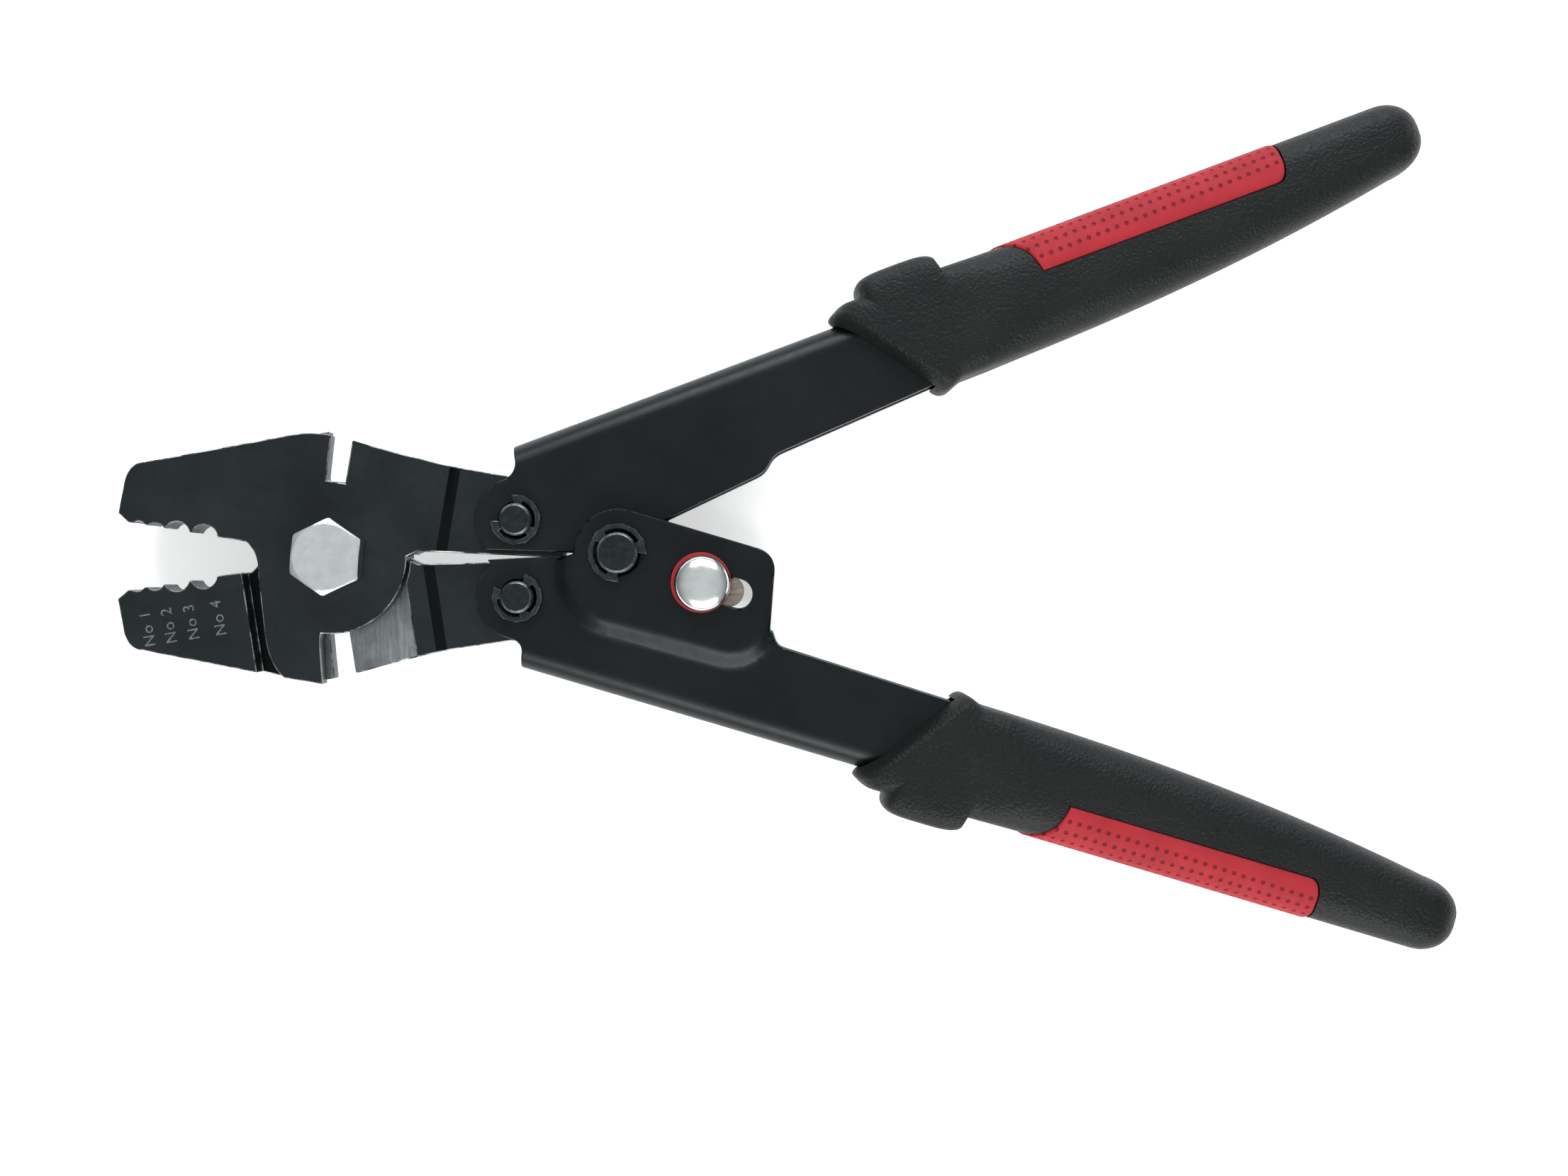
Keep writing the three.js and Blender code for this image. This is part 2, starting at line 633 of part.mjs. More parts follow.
add(lockGroup, 'lock_button', makeLockButton(), chrome, stemX, -lockSlot.y);
add(lockGroup, 'lock_ring', makeLockRing(), redPlastic, stemX, -lockSlot.y);
add(lockGroup, 'lock_plate', makeLockPlate(), zincPlate, stemX, -lockSlot.y);
add(lockGroup, 'lock_clip', makeLockClip(), clipSteel, stemX, -lockSlot.y);

for (const [group, name, shift] of [[upperHandle, 'upper', upperGripShift], [lowerHandle, 'lower', 0]]) {
  add(group, `${name}_grip`, makeGrip(), blackRubber, shift);
  add(group, `${name}_grip_insert`, makeInsert(), redPlastic, shift);
}

export default tool;
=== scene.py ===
"""Compound-leverage crimping pliers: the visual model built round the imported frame."""
import json
from functools import cache
from math import atan2, cos, pi, radians, sin, sqrt

import bmesh
import bpy
from mathutils import Matrix, Vector


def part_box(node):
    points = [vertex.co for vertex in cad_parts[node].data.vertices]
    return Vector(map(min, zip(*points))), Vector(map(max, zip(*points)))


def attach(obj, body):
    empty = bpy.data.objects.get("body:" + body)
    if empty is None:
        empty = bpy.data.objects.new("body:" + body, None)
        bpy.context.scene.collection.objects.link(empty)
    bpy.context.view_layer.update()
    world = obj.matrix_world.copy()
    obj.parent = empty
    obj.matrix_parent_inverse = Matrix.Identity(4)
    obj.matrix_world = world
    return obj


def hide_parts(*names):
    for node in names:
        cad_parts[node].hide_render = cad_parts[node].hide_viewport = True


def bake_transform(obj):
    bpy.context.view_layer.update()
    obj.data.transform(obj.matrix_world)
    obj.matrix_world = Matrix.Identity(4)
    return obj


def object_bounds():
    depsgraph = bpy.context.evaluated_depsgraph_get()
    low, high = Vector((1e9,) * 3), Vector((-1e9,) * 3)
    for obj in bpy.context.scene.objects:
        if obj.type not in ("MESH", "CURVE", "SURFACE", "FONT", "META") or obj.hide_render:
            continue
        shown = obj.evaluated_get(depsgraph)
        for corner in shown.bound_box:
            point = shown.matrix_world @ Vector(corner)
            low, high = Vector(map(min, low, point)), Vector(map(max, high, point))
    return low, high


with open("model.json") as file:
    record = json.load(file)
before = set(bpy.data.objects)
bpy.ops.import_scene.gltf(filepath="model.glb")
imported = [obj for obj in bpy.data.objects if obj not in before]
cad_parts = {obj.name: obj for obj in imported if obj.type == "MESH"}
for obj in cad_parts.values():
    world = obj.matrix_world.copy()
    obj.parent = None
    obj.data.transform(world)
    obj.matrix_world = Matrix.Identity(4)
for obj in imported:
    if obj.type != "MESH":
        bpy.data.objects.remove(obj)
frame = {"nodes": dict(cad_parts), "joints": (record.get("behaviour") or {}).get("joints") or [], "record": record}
cad_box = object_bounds()

MM = 0.001
joints = {j["name"]: j for j in frame["joints"]}
body_of = {node: body for body, nodes in frame["record"]["behaviour"]["bodies"].items() for node in nodes}

bolt_at = Vector(joints["jaw_pivot"]["pos_m"])
hinge_at = Vector(joints["handle_hinge"]["pos_m"])
MID = bolt_at.z                     # the middle of the tool's thickness

UPPER_HANDLE_TURN = 19.7            # directions of the parts in plan, in degrees
LOWER_HANDLE_TURN = -17.3
UPPER_JAW_TURN = -10.2
LOWER_JAW_TURN = 8.0

# ---- camera, floor and light ---------------------------------------------------------------------

SENSOR = 36.0
LENS = 45.4
CAMERA_HEIGHT = 0.380               # above the middle of the thickness
CAMERA_ASIDE = (0.0863, -0.00707)   # from the bolt, in metres
CAMERA_ROLL = -0.8
SKY_LOW, SKY_SIDE, SKY_HIGH = 0.06, 0.30, 0.64


def add_camera():
    camera = bpy.data.objects.new("camera", bpy.data.cameras.new("camera"))
    camera.data.sensor_width = SENSOR
    camera.data.lens = LENS
    camera.data.clip_start = 0.01
    camera.location = bolt_at + Vector((*CAMERA_ASIDE, CAMERA_HEIGHT))
    camera.rotation_euler = (0, 0, radians(CAMERA_ROLL))
    bpy.context.collection.objects.link(camera)
    bpy.context.scene.camera = camera


def add_area(name, at, size, power, colour):
    """A soft lamp aimed at the origin."""
    lamp = bpy.data.lights.new(name, "AREA")
    lamp.shape = "RECTANGLE"
    lamp.size, lamp.size_y = size
    lamp.energy = power
    lamp.color = colour
    light = bpy.data.objects.new(name, lamp)
    light.location = at
    light.rotation_euler = (-Vector(at)).to_track_quat("-Z", "Y").to_euler()
    bpy.context.collection.objects.link(light)


def add_world():
    """A pale sky that is darker towards both ends of X, so that upright end faces fall into shade."""
    world = bpy.data.worlds.new("studio")
    world.use_nodes = True
    nodes, links = world.node_tree.nodes, world.node_tree.links
    place = nodes.new("ShaderNodeTexCoord")
    split = nodes.new("ShaderNodeSeparateXYZ")
    links.new(place.outputs["Generated"], split.inputs[0])
    side = maths(nodes, links, "POWER", maths(nodes, links, "ABSOLUTE", split.outputs["Y"]), 2.0)
    high = maths(nodes, links, "MAXIMUM", split.outputs["Z"], 0.0)
    glow = maths(nodes, links, "ADD", maths(nodes, links, "MULTIPLY", side, SKY_SIDE),
                 maths(nodes, links, "MULTIPLY", high, SKY_HIGH))
    background = nodes["Background"]
    background.inputs["Color"].default_value = (0.95, 0.985, 1.0, 1)
    links.new(maths(nodes, links, "ADD", glow, SKY_LOW), background.inputs["Strength"])
    bpy.context.scene.world = world


def maths(nodes, links, operation, *values):
    node = nodes.new("ShaderNodeMath")
    node.operation = operation
    for socket, value in zip(node.inputs, values):
        if isinstance(value, (int, float)):
            socket.default_value = value
        else:
            links.new(value, socket)
    return node.outputs[0]


# ---- materials -----------------------------------------------------------------------------------


class Paint:
    """A node material under construction. Scales are in features per millimetre of the object."""

    def __init__(self, name, base, roughness, metallic=0.0, **sockets):
        self.material = bpy.data.materials.new(name)
        self.material.use_nodes = True
        self.nodes = self.material.node_tree.nodes
        self.links = self.material.node_tree.links
        self.shader = self.nodes["Principled BSDF"]
        self.set("Base Color", (*base, 1))
        self.set("Roughness", roughness)
        self.set("Metallic", metallic)
        for socket, value in sockets.items():
            self.set(socket.replace("_", " "), value)
        self.where = self.nodes.new("ShaderNodeTexCoord").outputs["Object"]
        self.height = None
        self.material.diffuse_color = (*base, 1)

    def set(self, socket, value):
        self.shader.inputs[socket].default_value = value

    def join(self, out, socket):
        self.links.new(out, self.shader.inputs[socket])

    def math(self, operation, *values):
        return maths(self.nodes, self.links, operation, *values)

    def placed(self, stretch=(1, 1, 1), turn=0.0):
        mapping = self.nodes.new("ShaderNodeMapping")
        mapping.inputs["Rotation"].default_value = (0, 0, radians(turn))
        mapping.inputs["Scale"].default_value = stretch
        self.links.new(self.where, mapping.inputs["Vector"])
        return mapping.outputs[0]

    def noise(self, scale, detail=3.0, roughness=0.55, stretch=None, turn=0.0):
        node = self.nodes.new("ShaderNodeTexNoise")
        node.inputs["Scale"].default_value = scale / MM
        node.inputs["Detail"].default_value = detail
        node.inputs["Roughness"].default_value = roughness
        self.links.new(self.placed(stretch, turn) if stretch else self.where, node.inputs["Vector"])
        return node.outputs["Fac"]

    def cells(self, scale):
        node = self.nodes.new("ShaderNodeTexVoronoi")
        node.feature = "SMOOTH_F1"
        node.inputs["Scale"].default_value = scale / MM
        self.links.new(self.where, node.inputs["Vector"])
        return node.outputs["Distance"]

    def remap(self, value, low, high, out_low, out_high):
        node = self.nodes.new("ShaderNodeMapRange")
        for socket, number in zip(("From Min", "From Max", "To Min", "To Max"), (low, high, out_low, out_high)):
            node.inputs[socket].default_value = number
        self.links.new(value, node.inputs["Value"])
        return node.outputs["Result"]

    def blend(self, factor, first, second):
        node = self.nodes.new("ShaderNodeMix")
        node.data_type = "RGBA"
        colour_in = [s for s in node.inputs if s.type == "RGBA"]
        for socket, value in zip(colour_in, (first, second)):
            if isinstance(value, tuple):
                socket.default_value = (*value, 1)
            else:
                self.links.new(value, socket)
        self.links.new(factor, node.inputs["Factor"])
        return [s for s in node.outputs if s.type == "RGBA"][0]

    def attribute(self, name):
        node = self.nodes.new("ShaderNodeAttribute")
        node.attribute_name = name
        return node.outputs["Fac"]

    def raise_by(self, height, depth_mm, strength=1.0):
        """Adds one layer of bump: `height` runs 0 to 1 over `depth_mm`."""
        bump = self.nodes.new("ShaderNodeBump")
        bump.inputs["Strength"].default_value = strength
        bump.inputs["Distance"].default_value = depth_mm * MM
        self.links.new(height, bump.inputs["Height"])
        if self.height is not None:
            self.links.new(self.height, bump.inputs["Normal"])
        self.height = bump.outputs["Normal"]
        self.join(self.height, "Normal")


def black_oxide():
    """Blackened forged steel: faint clouding, ground grain, bright where the edges have rubbed, and painted shade,
    near black, on the faces marked -1.
    """
    paint = Paint("black_oxide", (0.022, 0.025, 0.026), 0.34, 0.85)
    cloud = paint.remap(paint.noise(0.07, 4), 0.3, 0.7, 0, 1)
    body = paint.blend(cloud, (0.018, 0.022, 0.023), (0.030, 0.035, 0.037))
    # painted shade: faces marked -1 are darkened nearly to black, standing in for shadow and dark reflections
    painted_shade = paint.remap(paint.attribute("wear_and_shade"), -1, 0, 1, 0)
    body = paint.blend(painted_shade, body, (0.004, 0.005, 0.005))
    patch = paint.remap(paint.noise(0.22, 5, 0.7), 0.42, 0.58, 0, 1)
    rubbed = paint.math("MULTIPLY", paint.math("MAXIMUM", paint.attribute("wear_and_shade"), 0.0), patch)
    paint.join(paint.blend(rubbed, body, (0.36, 0.37, 0.38)), "Base Color")
    matt = paint.remap(paint.noise(0.9, 4), 0.3, 0.7, 0.30, 0.42)
    paint.join(matt, "Roughness")
    paint.raise_by(paint.noise(2.2, 4, 0.7), 0.02, 0.5)
    paint.raise_by(paint.noise(0.28, 3), 0.05, 0.3)
    return paint.material


def ground_steel(turn):
    """A surface-ground face: fine parallel lines, with a few darker smears."""
    paint = Paint("ground_steel", (0.26, 0.28, 0.28), 0.36, 1.0)
    lines = paint.noise(1.6, 5, 0.75, (1, 0.045, 1), turn)
    smear = paint.remap(paint.noise(0.18, 5, 0.65), 0.38, 0.66, 0, 1)
    bright = paint.blend(paint.remap(lines, 0.35, 0.65, 0, 1), (0.20, 0.215, 0.215), (0.38, 0.40, 0.40))
    paint.join(paint.blend(smear, bright, (0.17, 0.185, 0.19)), "Base Color")
    paint.join(paint.remap(lines, 0.3, 0.7, 0.30, 0.46), "Roughness")
    paint.raise_by(lines, 0.03, 0.6)
    return paint.material


def black_coating():
    """Satin electro-coat on pressed sheet: very fine orange peel, a little dust, thin at the edges."""
    paint = Paint("black_coating", (0.004, 0.0055, 0.006), 0.34, 0.0, Specular_IOR_Level=0.20)
    dust = paint.remap(paint.noise(0.05, 5, 0.6), 0.4, 0.75, 0, 1)
    body = paint.blend(dust, (0.0025, 0.004, 0.0048), (0.006, 0.008, 0.0085))
    patch = paint.remap(paint.noise(0.35, 5, 0.7), 0.5, 0.66, 0, 1)
    rubbed = paint.math("MULTIPLY", paint.math("MULTIPLY", paint.attribute("wear_and_shade"), patch), 0.25)
    paint.join(paint.blend(rubbed, body, (0.06, 0.065, 0.07)), "Base Color")
    paint.join(paint.remap(paint.noise(0.6, 4), 0.3, 0.7, 0.29, 0.38), "Roughness")
    paint.raise_by(paint.noise(1.5, 3, 0.6), 0.016, 0.5)
    paint.raise_by(paint.noise(0.12, 2), 0.08, 0.25)
    return paint.material


def bright_plate():
    """Chrome or bright zinc on turned steel, slightly hazed."""
    paint = Paint("bright_plate", (0.80, 0.83, 0.81), 0.16, 1.0)
    haze = paint.remap(paint.noise(0.35, 5, 0.6), 0.35, 0.7, 0, 1)
    paint.join(paint.blend(haze, (0.82, 0.85, 0.83), (0.70, 0.72, 0.70)), "Base Color")
    paint.join(paint.remap(paint.noise(0.8, 4), 0.3, 0.7, 0.12, 0.22), "Roughness")
    paint.raise_by(paint.noise(1.1, 3), 0.008, 0.4)
    return paint.material


def dark_pin():
    """Blackened pin ends, polished round the chamfer."""
    paint = Paint("dark_pin", (0.03, 0.034, 0.036), 0.3, 0.9)
    ring = paint.remap(paint.noise(0.5, 5, 0.7), 0.35, 0.7, 0, 1)
    body = paint.blend(ring, (0.018, 0.024, 0.026), (0.036, 0.044, 0.047))
    patch = paint.remap(paint.noise(0.45, 4, 0.7), 0.42, 0.6, 0.15, 1)
    rubbed = paint.math("MULTIPLY", paint.attribute("wear_and_shade"), patch)
    paint.join(paint.blend(rubbed, body, (0.16, 0.17, 0.175)), "Base Color")
    paint.join(paint.remap(paint.noise(1.2, 4), 0.3, 0.7, 0.26, 0.44), "Roughness")
    paint.raise_by(paint.noise(2.5, 3), 0.012, 0.5)
    return paint.material


def clip_steel():
    """Phosphated spring steel, dull grey."""
    paint = Paint("clip_steel", (0.04, 0.045, 0.048), 0.36, 0.9)
    cloud = paint.remap(paint.noise(0.6, 5, 0.65), 0.35, 0.7, 0, 1)
    body = paint.blend(cloud, (0.024, 0.031, 0.033), (0.045, 0.053, 0.056))
    patch = paint.remap(paint.noise(0.5, 4, 0.7), 0.5, 0.62, 0.05, 1)
    rubbed = paint.math("MULTIPLY", paint.attribute("wear_and_shade"), patch)
    paint.join(paint.blend(rubbed, body, (0.16, 0.17, 0.18)), "Base Color")
    paint.join(paint.remap(paint.noise(1.5, 3), 0.3, 0.7, 0.36, 0.52), "Roughness")
    paint.raise_by(paint.noise(3.0, 3), 0.01, 0.5)
    return paint.material


def spring_wire():
    paint = Paint("spring_wire", (0.36, 0.37, 0.38), 0.28, 1.0)
    drawn = paint.noise(2.0, 4, 0.6)
    paint.join(paint.blend(drawn, (0.26, 0.27, 0.28), (0.46, 0.47, 0.48)), "Base Color")
    paint.join(paint.remap(drawn, 0.3, 0.7, 0.22, 0.40), "Roughness")
    paint.raise_by(drawn, 0.01, 0.5)
    return paint.material


def zinc_plate():
    """Yellow-passivated sheet, brownish and streaked across."""
    paint = Paint("zinc_plate", (0.3, 0.24, 0.17), 0.34, 0.9)
    streak = paint.remap(paint.noise(0.9, 5, 0.75, (0.25, 1, 1), -LOWER_HANDLE_TURN), 0.35, 0.65, 0, 1)
    paint.join(paint.blend(streak, (0.20, 0.16, 0.12), (0.52, 0.47, 0.40)), "Base Color")
    paint.join(paint.remap(streak, 0, 1, 0.28, 0.45), "Roughness")
    paint.raise_by(streak, 0.01, 0.5)
    return paint.material


def grip_rubber():
    """Moulded black rubber with a fine leather-like pebble."""
    paint = Paint("grip_rubber", (0.006, 0.0065, 0.006), 0.5, 0.0, Specular_IOR_Level=0.2)
    tone = paint.remap(paint.noise(0.06, 4), 0.35, 0.7, 0, 1)
    paint.join(paint.blend(tone, (0.0045, 0.0055, 0.0052), (0.0085, 0.0088, 0.0078)), "Base Color")
    wrinkle = paint.noise(2.3, 2.5, 0.55)
    pebble = paint.cells(1.9)
    paint.join(paint.remap(wrinkle, 0.35, 0.7, 0.42, 0.62), "Roughness")
    paint.raise_by(paint.remap(pebble, 0.0, 0.75, 1, 0), 0.14, 0.75)
    paint.raise_by(wrinkle, 0.17, 0.75)
    return paint.material


def red_plastic(dotted):
    """Matt crimson. The grip insert carries rows of small dimples, laid out in its UV map in centimetres, with painted
    shade inside them.
    """
    name = "red_dotted" if dotted else "red_plain"
    paint = Paint(name, (0.33, 0.022, 0.028), 0.6, 0.0, Specular_IOR_Level=0.12)
    tone = paint.remap(paint.noise(0.12, 4), 0.35, 0.7, 0, 1)
    body = paint.blend(tone, (0.29, 0.018, 0.024), (0.35, 0.024, 0.031))
    paint.join(paint.remap(paint.noise(1.6, 3), 0.3, 0.7, 0.52, 0.68), "Roughness")
    paint.raise_by(paint.noise(2.4, 3, 0.6), 0.03, 0.5)
    if dotted:
        dimple_and_shade = dot_rows(paint, pitch=0.19, radius=0.038, rows=12)
        # painted shade: the dimples are coloured darker for the shade inside them
        body = paint.blend(dimple_and_shade, body, (0.15, 0.010, 0.014))
        paint.raise_by(paint.math("SUBTRACT", 1.0, dimple_and_shade), 0.30, 0.9)
    paint.join(body, "Base Color")
    return paint.material


def dot_rows(paint, pitch, radius, rows):
    """1 in a dot, 0 elsewhere, for a square grid of dots in UV space that is `rows` wide about V = 0."""
    split = paint.nodes.new("ShaderNodeSeparateXYZ")
    paint.links.new(paint.nodes.new("ShaderNodeTexCoord").outputs["UV"], split.inputs[0])
    along, across = split.outputs["X"], split.outputs["Y"]
    offsets = []
    for value in (along, across):
        cell = paint.math("ADD", paint.math("DIVIDE", value, pitch), 100.0)
        offsets.append(paint.math("SUBTRACT", paint.math("FRACT", cell), 0.5))
    squares = [paint.math("MULTIPLY", o, o) for o in offsets]
    distance = paint.math("MULTIPLY", paint.math("SQRT", paint.math("ADD", *squares)), pitch)
    dot = paint.remap(distance, radius * 0.55, radius * 1.15, 1, 0)
    inside = paint.math("LESS_THAN", paint.math("ABSOLUTE", across), pitch * rows / 2)
    return paint.math("MULTIPLY", dot, inside)


def pale_mark():
    paint = Paint("pale_mark", (0.16, 0.17, 0.16), 0.6, 0.0)
    fade = paint.remap(paint.noise(1.4, 5, 0.75), 0.35, 0.6, 0, 1)
    paint.join(paint.blend(fade, (0.03, 0.034, 0.034), (0.12, 0.128, 0.122)), "Base Color")
    return paint.material


def floor_paper():
    paint = Paint("floor_paper", (0.86, 0.86, 0.855), 0.9, 0.0, Specular_IOR_Level=0.1,
                  Emission_Color=(1, 1, 1, 1), Emission_Strength=0.55)
    fibre = paint.noise(0.02, 4)
    paint.join(paint.blend(fibre, (0.855, 0.856, 0.853), (0.875, 0.876, 0.873)), "Base Color")
    return paint.material


# ---- mesh helpers --------------------------------------------------------------------------------


def part_frame(at, turn, flipped=False):
    """From millimetres in a part's own frame to metres in the tool's frame."""
    matrix = Matrix.Translation((at.x, at.y, MID)) @ Matrix.Rotation(radians(turn), 4, "Z")
    if flipped:
        matrix = matrix @ Matrix.Rotation(pi, 4, "X")
    return matrix @ Matrix.Scale(MM, 4)


def to_object(name, bm, matrix=None, crease=35.0):
    if matrix is not None:
        bm.transform(matrix)
    bmesh.ops.recalc_face_normals(bm, faces=bm.faces)
    mesh = bpy.data.meshes.new(name)
    bm.to_mesh(mesh)
    bm.free()
    mesh.shade_smooth()
    mesh.set_sharp_from_angle(angle=radians(crease))
    piece = bpy.data.objects.new(name, mesh)
    bpy.context.collection.objects.link(piece)
    return piece


def bake(piece):
    """Applies the piece's modifiers to its mesh."""
    graph = bpy.context.evaluated_depsgraph_get()
    baked = bpy.data.meshes.new_from_object(piece.evaluated_get(graph), depsgraph=graph)
    piece.modifiers.clear()
    piece.data = baked


def flatten_normals(piece):
    piece.modifiers.new("flat_faces_first", "WEIGHTED_NORMAL").keep_sharp = True
    bake(piece)


def stand_in(piece, node, *materials):
    """The piece takes over from a CAD node: its body and its place."""
    for material in materials:
        piece.data.materials.append(material)
    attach(piece, body_of[node])
    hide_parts(node)


def skin(bm, rings, caps=True):
    """Quads over closed rings of points. `caps` closes both ends by a face."""
    rows = [[bm.verts.new(p) for p in ring] for ring in rings]
    count = len(rows[0])
    for low, high in zip(rows, rows[1:]):
        for i in range(count):
            j = (i + 1) % count
            bm.faces.new((low[i], low[j], high[j], high[i]))
    if caps:
        bm.faces.new(rows[0])
        bm.faces.new(rows[-1])
    return rows


def eased(points, radius, steps=3):
    """A polyline with its inner corners rounded off by short curves."""
    points = [Vector(p) for p in points]
    out = [points[0]]
    for before, corner, after in zip(points, points[1:], points[2:]):
        cut_in = min(radius, (corner - before).length * 0.45)
        cut_out = min(radius, (after - corner).length * 0.45)
        a = corner + (before - corner).normalized() * cut_in
        b = corner + (after - corner).normalized() * cut_out
        for i in range(steps + 1):
            t = i / steps
            out.append(a.lerp(corner, t).lerp(corner.lerp(b, t), t))
    out.append(points[-1])
    return out


def lathe(profile, segments=72, ring=False, worn=None):
    """A turned solid about Z from (radius, z) pairs, or a ring from a closed profile.
    `worn` gives, for a face's mean radius and height, how rubbed it is."""
    bm = bmesh.new()
    turns = [(cos(2 * pi * i / segments), sin(2 * pi * i / segments)) for i in range(segments)]
    rows = []
    for r, z in profile:
        if r < 1e-6:
            rows.append([bm.verts.new((0, 0, z))])
        else:
            rows.append([bm.verts.new((r * c, r * s, z)) for c, s in turns])
    pairs = list(zip(rows, rows[1:]))
    if ring:
        pairs.append((rows[-1], rows[0]))
    for low, high in pairs:
        for i in range(segments):
            j = (i + 1) % segments
            if len(low) == 1:
                bm.faces.new((low[0], high[j], high[i]))
            elif len(high) == 1:
                bm.faces.new((low[i], low[j], high[0]))
            else:
                bm.faces.new((low[i], low[j], high[j], high[i]))
    if worn:
        paint_wear_and_shade(bm, lambda face: worn(face.calc_center_median()))
    return bm


def paint_wear_and_shade(bm, amount):
    layer = bm.loops.layers.float.get("wear_and_shade") or bm.loops.layers.float.new("wear_and_shade")
    for face in bm.faces:
        value = amount(face)
        for loop in face.loops:
            loop[layer] = value


def refined(node, name, width, segments=2, ground=None, painted_shade=None, split=None, shape=None):
    """A copy of a CAD node with eased edges, marked where rubbed and where shade is painted. `ground` marks faces for
    a second material, `split` cuts the faces along a plane, and `shape` reworks the mesh before its edges are eased."""
    bm = bmesh.new()
    bm.from_mesh(frame["nodes"][node].data)
    bmesh.ops.remove_doubles(bm, verts=bm.verts, dist=2e-6)
    bmesh.ops.dissolve_limit(bm, angle_limit=radians(0.6), verts=bm.verts, edges=bm.edges)
    if split:
        cut_faces(bm, bm.faces, *split)
    if shape:
        shape(bm)
    bm.normal_update()
    if ground:
        for face in bm.faces:
            face.material_index = int(ground(face))
    sharp = [e for e in bm.edges if len(e.link_faces) == 2 and edge_angle(e) > 50]
    cut = bmesh.ops.bevel(bm, geom=sharp, offset=width * MM, segments=segments, profile=0.5, affect="EDGES",
                          clamp_overlap=False)
    bm.normal_update()
    worn = set(cut["faces"])
    # 1 marks rubbed edges; -1 marks faces that get painted shade
    paint_wear_and_shade(bm, lambda face: 1.0 if face in worn else -1.0 if painted_shade and painted_shade(face) else 0.0)
    piece = to_object(name, bm, crease=30)
    flatten_normals(piece)
    return piece


def cut_faces(bm, faces, at, normal):
    faces = list(faces)
    edges = {e for f in faces for e in f.edges}
    verts = {v for f in faces for v in f.verts}
    return bmesh.ops.bisect_plane(bm, geom=[*verts, *edges, *faces], dist=1e-7, plane_co=at, plane_no=normal)


def edge_angle(edge):
    return edge.calc_face_angle(0.0) * 180 / pi


# ---- jaws ----------------------------------------------------------------------------------------

LAP_START = -9.5                    # along the jaw from the bolt: the ground part of the half lap begins here; nearer the nose the lap gets painted shade
MOUTH_END, MOUTH_HALF = -14, 4.5    # the box along and across the jaw that holds the mouth's walls, which get painted shade
LAP_BAND = 0.4                      # how far from the middle a half lap may lie


def make_jaws(oxide):
    for node, turn in (("upper_jaw", UPPER_JAW_TURN), ("lower_jaw", LOWER_JAW_TURN)):
        along = Vector((cos(radians(turn)), sin(radians(turn)), 0))
        across = Vector((-along.y, along.x, 0))

        def is_lap(face, along=along):
            at = face.calc_center_median()
            flat = abs(face.normal.z) > 0.9 and abs(at.z - MID) < LAP_BAND * MM
            return flat and (at - bolt_at).dot(along) > LAP_START * MM

        # faces that get painted shade: the step slopes, the walls in the mouth, and the middle faces off the ground
        # lap
        def in_painted_shade(face, along=along, across=across):
            at = face.calc_center_median()
            far, aside = (at - bolt_at).dot(along), (at - bolt_at).dot(across)
            low_band = abs(face.normal.dot(along)) > 0.5 and abs(face.normal.z) > 0.3
            mouth_wall = abs(face.normal.z) < 0.3 and far < MOUTH_END * MM and abs(aside) < MOUTH_HALF * MM
            return low_band or mouth_wall or (abs(at.z - MID) < LAP_BAND * MM and not is_lap(face))
        piece = refined(node, f"{node}_forged", 0.22, 2, ground=is_lap, painted_shade=in_painted_shade,
                        split=(bolt_at + along * LAP_START * MM, along))
        stand_in(piece, node, oxide, ground_steel(90 - turn))


def make_marks():
    """Plain numbers beside the nests, read along the jaw's width."""
    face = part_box("lower_jaw")[1].z
    material = pale_mark()
    spots = ((-36.5, "No 1"), (-32.4, "No 2"), (-28.1, "No 3"), (-22.9, "No 4"))
    for index, (x, text) in enumerate(spots):
        curve = bpy.data.curves.new(f"mark_{index}", "FONT")
        curve.body = text
        curve.size = 3.0
        curve.space_character = 1.12
        curve.extrude = 0.012
        label = bpy.data.objects.new(f"size_mark_{index + 1}", curve)
        bpy.context.collection.objects.link(label)
        flat = bpy.data.meshes.new_from_object(label)
        bpy.data.objects.remove(label)
        turn = Matrix.Rotation(radians(LOWER_JAW_TURN), 4, "Z")
        spot = turn @ Vector((x + 1.3, -11.6, 0))
        at = Vector((bolt_at.x + spot.x * MM, bolt_at.y + spot.y * MM, face))
        flat.transform(Matrix.Translation(at) @ Matrix.Rotation(radians(100), 4, "Z") @ Matrix.Scale(MM, 4))
        flat.name = f"size_mark_{index + 1}"
        flat.materials.clear()
        flat.materials.append(material)
        piece = bpy.data.objects.new(flat.name, flat)
        bpy.context.collection.objects.link(piece)
        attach(piece, body_of["lower_jaw"])


# ---- bolt, nut and pins --------------------------------------------------------------------------

HEX = 13.0                          # across flats
HEX_FACE = 6.1                      # radius of the turned face
SEAT = 4.15                         # from the middle of the thickness to the jaws' faces and the play


def hex_radius(angle, turn):
    """Distance from the axis to a hexagon's side, with slightly eased corners."""
    off_flat = (angle - turn) % (pi / 3) - pi / 6
    return min(HEX / 2 / cos(off_flat), HEX / sqrt(3) - 0.12)


def hex_ring(turn, height_at, inset=0.0, count=144):
    """One ring round a hexagon: height_at(radius) gives its z."""
    ring = []
    for i in range(count):
        angle = 2 * pi * i / count
        radius = hex_radius(angle, turn) - inset
        ring.append((radius * cos(angle), radius * sin(angle), height_at(radius)))
    return ring


def round_ring(radius, z, count=144):
    return [(radius * cos(2 * pi * i / count), radius * sin(2 * pi * i / count), z) for i in range(count)]


